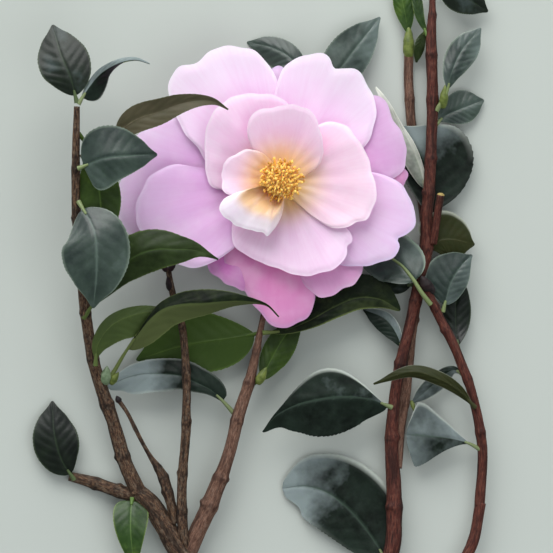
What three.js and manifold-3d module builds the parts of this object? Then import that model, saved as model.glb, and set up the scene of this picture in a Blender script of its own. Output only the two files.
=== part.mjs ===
// A cut branch of a garden camellia, lying on its back with one large open bloom facing up.
// Millimetres, +Z up. The branch lies along Y with its cut foot at -Y; the floor is z = 0.

import * as THREE from 'three';
import { mergeVertices } from 'three/addons/utils/BufferGeometryUtils.js';
import Module from 'manifold-3d';

const wasm = await Module();
wasm.setup();

// Driving dimensions
const GAP = 0.3; // air between pieces that meet
const LIMB_SIDES = 8;
const LIMB_STEP = 17; // length of limb between two rings
const LEAF_THICKNESS = 0.8;
const LEAF_STEPS = 8;
const STALK_HALF_WIDTH = 0.8;
const LEAF_FULLNESS = [0.85, 0.85]; // where a leaf states none
const PETAL_THICKNESS = 1.2;
const PETAL_RANGE = 1.4; // a petal's rim runs this many half spreads to each side of its middle
const PETAL_ROUNDING = 0.16; // the part of its reach that a petal loses at half of its spread
const BETWEEN_PETALS = 0.45; // the least that a whorl reaches, as a part of its longest petal
const BLOOM_AT = [0.5, 64.5, 14.2]; // the middle of the bloom's foot
const PLANT_SHIFT = [6.7, -5.2, 0.05]; // brings the middle of the branch's box over the origin

// Limbs run from foot to tip. A point is [x, y, z, radius].
const LIMBS = {
  main_stem: [
    [1.5, -160, 6.1, 6.6], [2.5, -149, 6.6, 6.4], [3.5, -139, 7, 6.2], [5, -130.5, 7, 4.6],
  ],
  left_fork: [
    [2.5, -139, 7, 5.4], [-12, -120, 7.4, 5.3], [-29, -100, 7.8, 5.1], [-39, -86.5, 8, 4.9],
    [-46, -75, 8, 4.2], [-52, -65.5, 8, 3.8], [-58.5, -59.5, 8, 3.2],
  ],
  left_limb: [
    [-57, -61, 8, 3.3], [-62.5, -48.5, 9, 2.9], [-67, -33, 11, 2.7], [-71, -21, 13, 2.6],
    [-74.5, -9.5, 16, 2.4], [-77.5, 9, 23, 2.2], [-79.5, 29.5, 31, 2], [-81, 52, 38, 1.8],
    [-81, 73, 43, 1.6], [-80.5, 93.5, 46, 1.2],
  ],
  low_branch: [
    [-55.5, -63, 7.4, 2.8], [-65, -60.5, 5, 2.6], [-74, -57.5, 3.2, 2.4],
    [-85, -54.5, 1.9, 1.9],
  ],
  dead_twig: [
    [-42, -73, 9.4, 2], [-45, -61, 12, 2], [-47.5, -53.5, 12.4, 1.9], [-52, -46.5, 12.4, 1],
    [-57, -37.5, 12.4, 0.8], [-61.5, -28.5, 12, 0.8], [-65, -23.5, 12, 0.9],
  ],
  middle_stem: [
    [-37.5, -85.5, 8.4, 2.5], [-39, -76, 11.6, 2.2], [-39.5, -63, 13, 2],
    [-39, -51, 13.6, 1.9], [-38, -39, 14, 1.9], [-37.5, -23, 15, 1.7], [-38, -7, 15.5, 1.6],
    [-39.5, 7, 15.5, 1.4], [-43, 19, 15.3, 1.3], [-45, 29.5, 15, 1.1],
  ],
  bloom_limb: [
    [-38.5, -88, 8, 3.7], [-32.5, -75, 8.5, 3.4], [-27, -62.5, 9, 3.3], [-20.5, -45, 9.5, 2.5],
    [-16.5, -29, 10, 2.5], [-12, -15, 10, 2.1], [-9, -1, 10, 1.4], [-5.5, 17, 9, 1.2],
    [-3, 37, 8.5, 1.2], [-0.5, 54.5, 9, 1.5], [0.5, 63, 11.6, 1.9],
  ],
  hidden_twig: [
    [-1.5, 42.5, 8, 1.3], [4, 61, 7.5, 1.2], [9, 79, 7.5, 1.1], [12.5, 97, 8, 0.9],
  ],
  right_stem: [
    [5.5, -137, 7, 4.6], [22, -119, 7.6, 4], [37, -101.5, 8, 3.5], [45, -84.5, 8.2, 3.2],
    [46, -63, 8.4, 3.1], [45, -43, 9, 2.7], [45.5, -29, 10, 2.4], [47, -17, 10, 2.3],
    [49, -7, 10, 2.3], [53, 9, 10, 2.3], [56, 23, 10, 2.5], [59, 37, 10, 2.5],
    [59, 49, 10, 2.4], [60, 61, 10, 2.3], [61, 81, 9.4, 2.2], [61.5, 97, 8.8, 2.3],
    [61, 117, 8, 2.2], [61, 125.5, 7.4, 2], [61.5, 133.5, 6.6, 1.4], [61, 151, 4.6, 1.1],
  ],
  rear_stem: [
    [47, -51, 7.6, 2.2], [48.5, -34.5, 5.4, 2.2], [50.5, -21, 3.6, 2.2], [52, -7, 3, 2.2],
    [53, 3, 2.7, 2.1], [54.5, 13, 2.6, 2.1], [57.5, 29, 2.4, 2.1], [58.5, 47, 2.2, 2],
    [56, 69, 2.1, 2], [53, 89, 2, 1.9], [52, 107, 2.2, 1.9], [52, 117, 2.8, 1.8],
    [51.5, 122.5, 3.4, 1.3],
  ],
  side_branch_foot: [
    [29, -111.5, 7.8, 2.8], [49.5, -105.5, 7.4, 2.6], [67, -97, 7, 2.4], [77, -83, 6.4, 2.3],
    [81, -65, 6, 2.2],
  ],
  side_branch: [
    [80.5, -66.5, 6, 2.1], [81.5, -43, 8, 2], [77.5, -21.5, 10, 1.9], [72.5, -7.5, 11, 1.9],
    [69, 0.5, 11.5, 1.9], [64.5, 9, 12, 1.8], [60.5, 17.5, 13.6, 1.8], [57.5, 23, 15, 2.2],
  ],
  cut_stub: [
    [61.5, 39.5, 11, 1.7], [63, 49, 13.5, 1.6], [64.5, 59, 16, 1.5],
  ],
};

// A leaf's rib runs from its stalk to its tip, and its halves are told left before right.
// halves: how far each half reaches from the rib.
// tilt: degrees that they fold up from level, as [left at stalk, left at tip, right at stalk, right at tip].
// widest: the part of the blade's length at which each half is broadest.
// stalk: the length of the stalk.
// fullness: below 1 a half keeps its width towards its ends, above 1 it narrows to a peak.
const LEAVES = {
  leaf_far_left: {
    rib: [
      [-80, 94.5, 45], [-75.5, 101.5, 45], [-70.5, 107, 46.5], [-63, 111, 46.5],
      [-57, 112, 45.5], [-51.5, 110.5, 43],
    ],
    halves: [1.8, 6.8],
    tilt: [-30, -30, -25, -118],
    widest: [0.4, 0.16],
    stalk: 3,
    fullness: [0.85, 1.6],
  },
  leaf_over_petals: {
    rib: [
      [-79, 73.5, 42], [-70.5, 79.5, 40], [-62.5, 85, 41.5], [-56, 89, 43], [-48, 91.5, 44],
      [-40, 94.5, 44.5], [-32, 96, 44], [-26, 95.5, 42.5], [-20.5, 92.5, 40],
    ],
    halves: [5.3, 5.3],
    tilt: [4, 22, 4, 26],
    widest: [0.26, 0.26],
    stalk: 18,
    fullness: [1.1, 1.1],
  },
  leaf_front_upper: {
    rib: [[-80, 69, 46], [-69, 73, 50], [-58.5, 74, 50], [-48.5, 74.5, 47]],
    halves: [12.5, 11.5],
    tilt: [-12, -12, -10, -10],
    widest: [0.32, 0.14],
    stalk: 2.5,
    fullness: [0.85, 0.7],
  },
  leaf_left_behind: {
    rib: [[-80, 83, 43], [-75, 76, 41.5], [-72.5, 65, 41], [-71, 52, 40], [-70.5, 39, 39]],
    halves: [8, 8],
    tilt: [-10, -10, -10, -10],
    widest: [0.5, 0.5],
    stalk: 6,
  },
  leaf_front_lower: {
    rib: [[-80, 56, 41], [-73.5, 44, 49], [-72.5, 29.5, 50], [-74, 13.5, 46]],
    halves: [13, 14],
    tilt: [-15, -15, -15, -15],
    widest: [0.42, 0.42],
    stalk: 4,
  },
  leaf_below_bloom: {
    rib: [
      [-78.5, 9.5, 25], [-71, 20.5, 32], [-64, 29.5, 37.5], [-56, 35, 40], [-49, 37, 41],
      [-41, 37, 41], [-33, 36.5, 40], [-24.5, 33, 38],
    ],
    halves: [8.4, 8.4],
    tilt: [-15, -15, -15, -15],
    widest: [0.5, 0.5],
    stalk: 4,
    fullness: [1.3, 1.3],
  },
  leaf_long: {
    rib: [
      [-70, -17, 14], [-67, -12.5, 16], [-62.5, -5, 20], [-57, 3, 25], [-52, 9, 28],
      [-47, 13, 29.5], [-40, 15, 30.5], [-30, 15.5, 31.5], [-18, 16.5, 32], [-9.5, 16, 32.5],
      [-5, 14.5, 32], [-0.5, 10, 31],
    ],
    halves: [5.8, 9],
    tilt: [-82, 24, -14, -84],
    widest: [0.5, 0.29],
    stalk: 18,
    fullness: [2.6, 1.2],
  },
  leaf_arching: {
    rib: [[-74, -9.5, 19], [-73, -1, 22], [-67, 7, 25], [-56, 11.5, 25], [-42.5, 12.5, 24]],
    halves: [3.5, 8.5],
    tilt: [-20, -20, -15, -30],
    widest: [0.45, 0.5],
    stalk: 3,
  },
  leaf_broad: {
    rib: [[-7.5, 3.5, 9], [-19, 1.5, 8], [-38, -1.5, 7], [-58, -7.5, 5.5]],
    halves: [12, 12.5],
    tilt: [-8, -8, -8, -8],
    widest: [0.36, 0.5],
    stalk: 3,
  },
  leaf_dark_low: {
    rib: [
      [-18.5, -29, 9], [-23, -24, 11], [-28, -19.5, 12], [-34, -16.5, 12], [-39.5, -14, 11.5],
      [-48, -13, 10.5], [-55, -13, 10], [-63, -15, 9.2], [-69.5, -18.5, 8.5],
    ],
    halves: [7.5, 6.6],
    tilt: [-4, -4, -10, -30],
    widest: [0.68, 0.35],
    stalk: 7,
    fullness: [0.55, 0.55],
  },
  leaf_small_green: {
    rib: [[-59.5, -63, 9], [-60, -68, 12], [-60, -77, 14], [-58.5, -92, 12]],
    halves: [6.8, 6.8],
    tilt: [-10, -10, -10, -10],
    widest: [0.2, 0.2],
    stalk: 1.2,
  },
  leaf_under_bud: {
    rib: [[-11, -17, 9], [-7.5, -15, 8], [-4, -8, 7.5], [1.5, 1.5, 7], [9, 10.5, 6]],
    halves: [5, 6.5],
    tilt: [-12, -12, -12, -12],
    widest: [0.45, 0.45],
    stalk: 4,
  },
  leaf_top_left: {
    rib: [[12.5, 98, 8], [5, 113.5, 8], [-3, 118.5, 5], [-13.5, 121, 0.6]],
    halves: [7, 5],
    tilt: [-15, -15, -20, -20],
    widest: [0.5, 0.5],
    stalk: 6,
  },
  leaf_top_right: {
    rib: [[13, 93.5, 8], [23, 108, 8], [31, 119, 7], [40.5, 131, 4]],
    halves: [9, 8],
    tilt: [-10, -10, -15, -15],
    widest: [0.45, 0.45],
    stalk: 5,
  },
  leaf_under_bloom: {
    rib: [
      [-7, 3.5, 12], [2, 4.5, 12.5], [12, 8.5, 13], [22, 14, 13], [31, 17.5, 12.5],
      [40, 17, 11.5], [48.5, 12.5, 10],
    ],
    halves: [9.5, 4.5],
    tilt: [-8, -8, -8, -8],
    widest: [0.62, 0.6],
    stalk: 3,
    fullness: [0.7, 0.7],
  },
  leaf_tip_left: {
    rib: [
      [45, -26.5, 12], [36, -23, 16], [26, -22, 18.5], [16, -23, 19.5], [6, -25.5, 19],
      [-2, -30, 17], [-7, -36.5, 14],
    ],
    halves: [15.5, 11.6],
    tilt: [-20, -15, -12, -15],
    widest: [0.42, 0.42],
    stalk: 1.5,
    fullness: [0.85, 3.2],
  },
  leaf_low_left: {
    rib: [
      [43.5, -89.5, 6.5], [37, -79, 4.8], [28, -68, 4.2], [19, -61, 3.8], [10, -58.5, 3.2],
      [1, -59.5, 2.2],
    ],
    halves: [14, 17.5],
    tilt: [-5, -4, -5, -4],
    widest: [0.55, 0.42],
    stalk: 3,
    fullness: [0.38, 0.5],
  },
  leaf_over_stem: {
    rib: [[78.5, -26.5, 12], [71.5, -19.5, 17], [64, -15, 20], [53, -12, 20], [37.5, -17, 16]],
    halves: [2.6, 3],
    tilt: [-30, -30, -30, -30],
    widest: [0.42, 0.42],
    stalk: 3,
  },
  leaf_pale_low: {
    rib: [[81.5, -44, 8.5], [76, -41, 9.5], [68, -39, 9.5], [59, -38, 9.3], [51, -37.5, 9]],
    halves: [12.5, 13],
    tilt: [-12, -12, -6, -6],
    widest: [0.78, 0.78],
    stalk: 6,
    fullness: [0.5, 0.5],
  },
  leaf_behind_right: {
    rib: [
      [60.5, 15, 15], [57, 19.5, 17], [53.5, 25, 17], [49, 30.5, 15], [45, 33.5, 13.4],
      [34.5, 41.5, 10.5], [23, 51, 9],
    ],
    halves: [10, 10.5],
    tilt: [-8, -8, -8, -8],
    widest: [0.35, 0.28],
    stalk: 12,
  },
  leaf_at_bud: {
    rib: [[65.5, 12, 11], [67, 17.5, 12], [69, 24, 12.5], [73, 30.5, 12], [77.5, 35, 10]],
    halves: [11, 6],
    tilt: [-10, -10, -12, -12],
    widest: [0.42, 0.4],
    stalk: 3,
    fullness: [1, 0.85],
  },
  leaf_green_stalk: {
    rib: [[63, 93, 10], [67, 100, 12], [69, 108, 13], [73, 117, 11], [81, 126.5, 8]],
    halves: [5, 6.5],
    tilt: [-15, -15, -15, -15],
    widest: [0.5, 0.55],
    stalk: 10,
  },
  leaf_behind_stem: {
    rib: [[60, 48, 8.2], [61, 55, 6.6], [61, 62.5, 5.8], [59, 71, 5.6], [54.5, 79, 5.7], [49, 87, 6]],
    halves: [10, 19.5],
    tilt: [-4, -4, -5, -5],
    widest: [0.45, 0.5],
    stalk: 4,
    fullness: [0.85, 1],
  },
  leaf_at_stub: {
    rib: [[60, 36, 9], [64.5, 40.5, 9.8], [70, 41, 9.4], [78.5, 39, 8]],
    halves: [11.5, 12],
    tilt: [-10, -10, -10, -10],
    widest: [0.28, 0.28],
    stalk: 2,
  },
  leaf_blue: {
    rib: [[62.5, 87, 8], [66, 90.5, 6], [72, 93.5, 4.2], [82.5, 97.5, 2.4]],
    halves: [7, 6],
    tilt: [-10, -10, -6, -6],
    widest: [0.5, 0.5],
    stalk: 3,
  },
  leaf_top_corner: {
    rib: [[61, 146.5, 6], [67, 143.5, 8], [74.5, 139, 8.5], [84, 133, 6]],
    halves: [6.5, 7],
    tilt: [-10, -10, -10, -10],
    widest: [0.42, 0.42],
    stalk: 3,
  },
  leaf_dark_sliver: {
    rib: [[54.5, 23, 6.5], [48, 22.5, 6], [43, 24.5, 5.5], [38.5, 28, 5]],
    halves: [3.4, 3.4],
    tilt: [-10, -10, -10, -10],
    widest: [0.45, 0.45],
    stalk: 2,
  },
  leaf_dark_right: {
    rib: [[72, -4, 9.3], [71, 5, 6], [71, 15, 5], [73.5, 26.5, 3.5]],
    halves: [5, 6],
    tilt: [-10, -10, -10, -10],
    widest: [0.45, 0.45],
    stalk: 3,
  },
  leaf_edge_on: {
    rib: [
      [59, 59, 9], [56.5, 69.5, 10], [52.5, 79, 11], [47.5, 87, 12], [43.5, 95, 12.5],
      [40.5, 100, 12.5], [38.5, 102.5, 12],
    ],
    halves: [5.5, 1.8],
    tilt: [-15, -15, -35, -35],
    widest: [0.4, 0.4],
    stalk: 3,
  },
  leaf_behind_low: {
    rib: [[49.5, -4, 8.4], [47, 3, 7.6], [42.5, 9, 7], [33.5, 13, 5.5]],
    halves: [5, 2.6],
    tilt: [-10, -10, -10, -10],
    widest: [0.5, 0.5],
    stalk: 2,
  },
  leaf_pale_strip: {
    rib: [[75, -14.5, 9.6], [70, -11.5, 8.6], [62.5, -17, 7], [53, -25, 6]],
    halves: [3.6, 3.6],
    tilt: [-20, -20, -20, -20],
    widest: [0.5, 0.5],
    stalk: 3,
  },
  leaf_young_left: {
    rib: [[52, 122.5, 4], [51, 129.5, 5], [49.5, 137, 6], [47.5, 146.5, 5]],
    halves: [3.6, 3.8],
    tilt: [-10, -10, -10, -10],
    widest: [0.5, 0.5],
    stalk: 2,
  },
  leaf_young_right: {
    rib: [[59.5, 123.5, 7.4], [56.5, 130.5, 8], [55, 138.5, 8], [54, 147, 7]],
    halves: [1.7, 1.9],
    tilt: [-15, -15, -15, -15],
    widest: [0.5, 0.5],
    stalk: 1.5,
  },
  leaf_young_hanging: {
    rib: [[59, 126, 7], [57, 121.5, 6], [56, 117.5, 5.5], [55, 112.5, 4.5]],
    halves: [1.8, 1.8],
    tilt: [-15, -15, -15, -15],
    widest: [0.45, 0.45],
    stalk: 1.5,
  },
  leaf_limb_tip: {
    rib: [[-80.5, 95, 45], [-83, 105, 46], [-87, 114.5, 44], [-90.5, 126.5, 38]],
    halves: [10, 10],
    tilt: [-12, -12, -12, -12],
    widest: [0.42, 0.42],
    stalk: 3,
  },
  leaf_stem_tip: {
    rib: [[59, 151, 5], [55, 157.5, 6], [51, 163, 5], [46.5, 170.5, 2]],
    halves: [8, 8],
    tilt: [-12, -12, -12, -12],
    widest: [0.45, 0.45],
    stalk: 3,
  },
  leaf_low_branch: {
    rib: [[-83, -56, 4], [-88, -48, 6], [-91, -37.5, 6], [-92, -24, 3]],
    halves: [9, 9],
    tilt: [-10, -10, -10, -10],
    widest: [0.42, 0.42],
    stalk: 3,
  },
};

// A whorl is a shallow dish of petals: [direction in degrees, reach, half of the spread in degrees].
const WHORLS = {
  outer_petals: {
    petals: [
      [121, 60, 30], [61, 53, 34], [24, 53, 26], [-19, 57, 32],
      [-58, 50, 18], [-90, 59, 30], [-122, 46, 18], [173, 65, 28], [-155, 60, 24],
    ],
    foot: 3.4,
    rise: 5,
    rings: 4,
  },
  middle_petals: {
    petals: [[-160, 59, 34], [138, 47, 30], [100, 38, 26], [2, 38, 52], [-78, 41, 48]],
    foot: 5.2,
    rise: 9,
    rings: 3,
  },
  inner_petals: {
    petals: [[72, 30, 50], [-130, 25, 42], [172, 24, 40], [-30, 20, 60]],
    foot: 7,
    rise: 13,
    rings: 3,
  },
};
const WHORL_SECTORS = 48;
const TURNED_SECTORS = 20;
const WELD = 1e-4; // points nearer to each other than this are one point
const STAMENS = { foot: 9.4, top: 25, footRadius: 4, topRadius: 9 };
const CALYX = { foot: 0, top: 3, footRadius: 2.6, topRadius: 7 };

const UP = new THREE.Vector3(0, 0, 1);

const MATERIALS = {
  wood: new THREE.MeshStandardMaterial({ color: 0x5e3a2c, roughness: 0.8, metalness: 0 }),
  leaf: new THREE.MeshStandardMaterial({ color: 0x26382a, roughness: 0.35, metalness: 0 }),
  petal: new THREE.MeshStandardMaterial({ color: 0xefc4e0, roughness: 0.6, metalness: 0 }),
  stamen: new THREE.MeshStandardMaterial({ color: 0xe9b04a, roughness: 0.7, metalness: 0 }),
  sepal: new THREE.MeshStandardMaterial({ color: 0x6b7f3a, roughness: 0.6, metalness: 0 }),
};

// Closes a row of rings, each a loop of equally many points, into one skin with a fan over each end.
function loft(rings) {
  const count = rings[0].length;
  const points = rings.flat();
  const faces = [];
  for (let r = 0; r + 1 < rings.length; r += 1) {
    for (let k = 0; k < count; k += 1) {
      const a = r * count + k;
      const b = r * count + ((k + 1) % count);
      faces.push([a, b, b + count], [a, b + count, a + count]);
    }
  }
  const last = (rings.length - 1) * count;
  const middles = [rings[0], rings[rings.length - 1]].map((ring) => {
    const middle = new THREE.Vector3();
    ring.forEach((point) => middle.addScaledVector(point, 1 / count));
    return points.push(middle) - 1;
  });
  for (let k = 0; k < count; k += 1) {
    const next = (k + 1) % count;
    faces.push([middles[0], next, k], [middles[1], last + k, last + next]);
  }
  return skin(points, faces);
}

function skin(points, faces) {
  const geometry = new THREE.BufferGeometry();
  const places = points.flatMap((p) => [p.x, p.y, p.z]);
  geometry.setAttribute('position', new THREE.Float32BufferAttribute(places, 3));
  geometry.setIndex(faces.flat());
  return geometry;
}

function toSolid(geometry) {
  const merged = mergeVertices(geometry, WELD);
  const mesh = new wasm.Mesh({
    numProp: 3,
    vertProperties: new Float32Array(merged.attributes.position.array),
    triVerts: new Uint32Array(merged.index.array),
  });
  mesh.merge();
  const solid = new wasm.Manifold(mesh);
  return solid.volume() < 0 ? toSolid(flip(merged)) : solid;
}

function flip(geometry) {
  const order = Array.from(geometry.index.array);
  for (let i = 0; i < order.length; i += 3) {
    [order[i], order[i + 1]] = [order[i + 1], order[i]];
  }
  geometry.setIndex(order);
  return geometry;
}

function toGeometry(solid) {
  const mesh = solid.getMesh();
  const geometry = new THREE.BufferGeometry();
  geometry.setAttribute('position', new THREE.Float32BufferAttribute(mesh.vertProperties, 3));
  geometry.setIndex(new THREE.Uint32BufferAttribute(mesh.triVerts, 1));
  return geometry;
}

// Cuts every neighbour that comes near away from a solid and keeps the largest piece that is left.
function clearOf(solid, neighbours) {
  let left = solid;
  for (const neighbour of neighbours) {
    left = left.subtract(neighbour);
  }
  const pieces = left.decompose();
  return pieces.reduce((best, piece) => (piece.volume() > best.volume() ? piece : best));
}

// A round limb along a smooth path, whose radius eases from point to point.
function limbSolid(path, extra = 0) {
  const curve = new THREE.CatmullRomCurve3(path.map(([x, y, z]) => new THREE.Vector3(x, y, z)));
  const radii = new THREE.CatmullRomCurve3(path.map(([, , , radius]) => new THREE.Vector3(radius, 0, 0)));
  const steps = Math.max(3, Math.round(curve.getLength() / LIMB_STEP), path.length - 1);
  const rings = [];
  let side = new THREE.Vector3().crossVectors(UP, curve.getTangent(0)).normalize();
  for (let i = 0; i <= steps; i += 1) {
    const along = curve.getTangent(i / steps);
    side = side.addScaledVector(along, -side.dot(along)).normalize();
    const over = new THREE.Vector3().crossVectors(along, side);
    const centre = curve.getPoint(i / steps);
    const radius = radii.getPoint(i / steps).x + extra;
    const ring = [];
    for (let k = 0; k < LIMB_SIDES; k += 1) {
      const turn = ((k + 0.5) / LIMB_SIDES) * 2 * Math.PI;
      const point = centre.clone().addScaledVector(side, radius * Math.cos(turn));
      ring.push(point.addScaledVector(over, radius * Math.sin(turn)));
    }
    rings.push(ring);
  }
  return toSolid(loft(rings));
}

function bladeWidth(u, widest, fullness) {
  const bulge = Math.log(0.5) / Math.log(widest);
  return Math.abs(Math.sin(Math.PI * u ** bulge)) ** fullness;
}

// A leaf is a stalk and a thin blade folded along its rib: three points across its top and three below.
function leafSolid({ rib, halves, tilt, widest, stalk, fullness = LEAF_FULLNESS }, extra = 0) {
  const curve = new THREE.CatmullRomCurve3(rib.map((point) => new THREE.Vector3(...point)));
  const bladeStart = stalk / curve.getLength();
  const rings = [];
  for (let i = 0; i <= LEAF_STEPS; i += 1) {
    const u = i === 0 ? 0 : bladeStart + (1 - bladeStart) * ((i - 1) / (LEAF_STEPS - 1));
    const along = curve.getTangentAt(u);
    const side = new THREE.Vector3().crossVectors(UP, along).normalize();
    const face = new THREE.Vector3().crossVectors(along, side);
    const centre = curve.getPointAt(u);
    const blade = Math.max(0, (u - bladeStart) / (1 - bladeStart));
    const edge = (half, way) => {
      const fold = THREE.MathUtils.degToRad(THREE.MathUtils.lerp(tilt[2 * half], tilt[2 * half + 1], u));
      const width = halves[half] * bladeWidth(blade, widest[half], fullness[half]);
      const reach = Math.max(width, STALK_HALF_WIDTH) + extra;
      return centre.clone()
        .addScaledVector(side, way * reach * Math.cos(fold))
        .addScaledVector(face, reach * Math.sin(fold));
    };
    const top = [edge(0, 1), centre, edge(1, -1)];
    const lower = (point) => point.clone().addScaledVector(face, -LEAF_THICKNESS / 2 - extra);
    const upper = (point) => point.clone().addScaledVector(face, LEAF_THICKNESS / 2 + extra);
    rings.push([...top.map(upper), ...top.map(lower).reverse()]);
  }
  return toSolid(loft(rings));
}

// How far a whorl reaches in a direction: the longest petal there, each round at its end.
function whorlReach(petals, direction) {
  const reaches = petals.map(([middle, reach, spread]) => {
    const off = Math.abs(((direction - middle + 540) % 360) - 180) / spread;
    return off < PETAL_RANGE ? reach * (1 - PETAL_ROUNDING * off ** 3) : 0;
  });
  return Math.max(...reaches, BETWEEN_PETALS * Math.max(...petals.map((petal) => petal[1])));
}

function whorl({ petals, foot, rise, rings }) {
  const longest = Math.max(...petals.map((petal) => petal[1]));
  const points = [new THREE.Vector3(0, 0, foot + PETAL_THICKNESS), new THREE.Vector3(0, 0, foot)];
  const faces = [];
  for (let s = 0; s < WHORL_SECTORS; s += 1) {
    const direction = (s / WHORL_SECTORS) * 360;
    const reach = whorlReach(petals, direction);
    const turn = THREE.MathUtils.degToRad(direction);
    for (let r = 1; r <= rings; r += 1) {
      const out = (r / rings) * reach;
      const low = foot + rise * (out / longest) ** 1.5;
      points.push(new THREE.Vector3(out * Math.cos(turn), out * Math.sin(turn), low + PETAL_THICKNESS));
      points.push(new THREE.Vector3(out * Math.cos(turn), out * Math.sin(turn), low));
    }
  }
  const topOf = (s, r) => (r === 0 ? 0 : 2 + 2 * ((s % WHORL_SECTORS) * rings + r - 1));
  const lowOf = (s, r) => topOf(s, r) + 1;
  for (let s = 0; s < WHORL_SECTORS; s += 1) {
    const next = s + 1;
    faces.push([topOf(s, 0), topOf(s, 1), topOf(next, 1)], [lowOf(s, 0), lowOf(next, 1), lowOf(s, 1)]);
    for (let r = 1; r < rings; r += 1) {
      faces.push([topOf(s, r), topOf(s, r + 1), topOf(next, r + 1)]);
      faces.push([topOf(s, r), topOf(next, r + 1), topOf(next, r)]);
      faces.push([lowOf(s, r), lowOf(next, r + 1), lowOf(s, r + 1)]);
      faces.push([lowOf(s, r), lowOf(next, r), lowOf(next, r + 1)]);
    }
    faces.push(
      [topOf(s, rings), lowOf(s, rings), lowOf(next, rings)],
      [topOf(s, rings), lowOf(next, rings), topOf(next, rings)],
    );
  }
  return skin(points, faces);
}

// A round tuft or cup about the bloom's axis.
function turned({ foot, top, footRadius, topRadius }) {
  const profile = [[0, foot], [footRadius, foot], [topRadius, top], [0, top]];
  const lathe = new THREE.LatheGeometry(profile.map(([x, y]) => new THREE.Vector2(x, y)), TURNED_SECTORS);
  lathe.rotateX(Math.PI / 2);
  lathe.deleteAttribute('normal');
  lathe.deleteAttribute('uv');
  return mergeVertices(lathe, WELD);
}

function mesh(name, geometry, material) {
  geometry.computeVertexNormals();
  const piece = new THREE.Mesh(geometry, MATERIALS[material]);
  piece.name = name;
  return piece;
}

// Stems: each limb is cut clear of the limbs that it grows from or crosses.
function makeStems() {
  const group = new THREE.Group();
  const before = [];
  for (const [name, path] of Object.entries(LIMBS)) {
    group.add(mesh(name, toGeometry(clearOf(limbSolid(path), before)), 'wood'));
    before.push(limbSolid(path, GAP));
  }
  return { group, grown: before };
}

function makeLeaves(stems) {
  const group = new THREE.Group();
  const before = [...stems];
  for (const [name, leaf] of Object.entries(LEAVES)) {
    group.add(mesh(name, toGeometry(clearOf(leafSolid(leaf), before)), 'leaf'));
    before.push(leafSolid(leaf, GAP));
  }
  return group;
}

function makeBloom() {
  const group = new THREE.Group();
  group.add(mesh('calyx', turned(CALYX), 'sepal'));
  for (const [name, dish] of Object.entries(WHORLS)) {
    group.add(mesh(name, whorl(dish), 'petal'));
  }
  group.add(mesh('stamens', turned(STAMENS), 'stamen'));
  group.position.set(...BLOOM_AT);
  return group;
}

const stems = makeStems();
const branch = new THREE.Group();
branch.add(stems.group, makeLeaves(stems.grown), makeBloom());
branch.position.set(...PLANT_SHIFT);

export default branch;
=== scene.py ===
import math
import random
from collections import namedtuple

import bpy
import numpy as np
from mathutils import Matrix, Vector, noise


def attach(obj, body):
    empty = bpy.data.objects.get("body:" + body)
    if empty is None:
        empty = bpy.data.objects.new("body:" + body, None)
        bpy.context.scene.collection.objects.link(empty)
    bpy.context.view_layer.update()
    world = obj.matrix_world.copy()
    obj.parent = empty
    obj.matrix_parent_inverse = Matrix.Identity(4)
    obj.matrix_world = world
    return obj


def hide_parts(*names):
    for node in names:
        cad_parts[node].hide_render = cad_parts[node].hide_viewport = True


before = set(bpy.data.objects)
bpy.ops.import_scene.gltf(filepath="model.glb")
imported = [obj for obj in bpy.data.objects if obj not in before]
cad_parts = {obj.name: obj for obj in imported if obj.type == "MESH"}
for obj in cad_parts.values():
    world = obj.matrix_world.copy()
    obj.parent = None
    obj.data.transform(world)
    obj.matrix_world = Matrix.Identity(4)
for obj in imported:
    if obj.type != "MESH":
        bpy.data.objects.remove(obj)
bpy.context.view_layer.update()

# A cut camellia branch lying on its back on a pale floor, its bloom facing up at the camera.
# The tables below repeat the model's own sizes in millimetres; the scene is in metres.

MM = 0.001
PLANT_SHIFT = np.array([6.7, -5.2, 0.05])
BLOOM_AT = np.array([0.5, 64.5, 14.2])
BLOOM_AXIS = np.array([*BLOOM_AT[:2], 0])
UP = np.array([0.0, 0.0, 1.0])
FULL_TURN = 2 * math.pi

# Camera: a long lens straight above, framing a square of the branch.
VIEW_MIDDLE = (5.3, 21.0)
VIEW_SIDE = 221.2
VIEW_PLANE = 25.0
CAMERA_DISTANCE = 2200.0
SENSOR = 36.0

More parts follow.
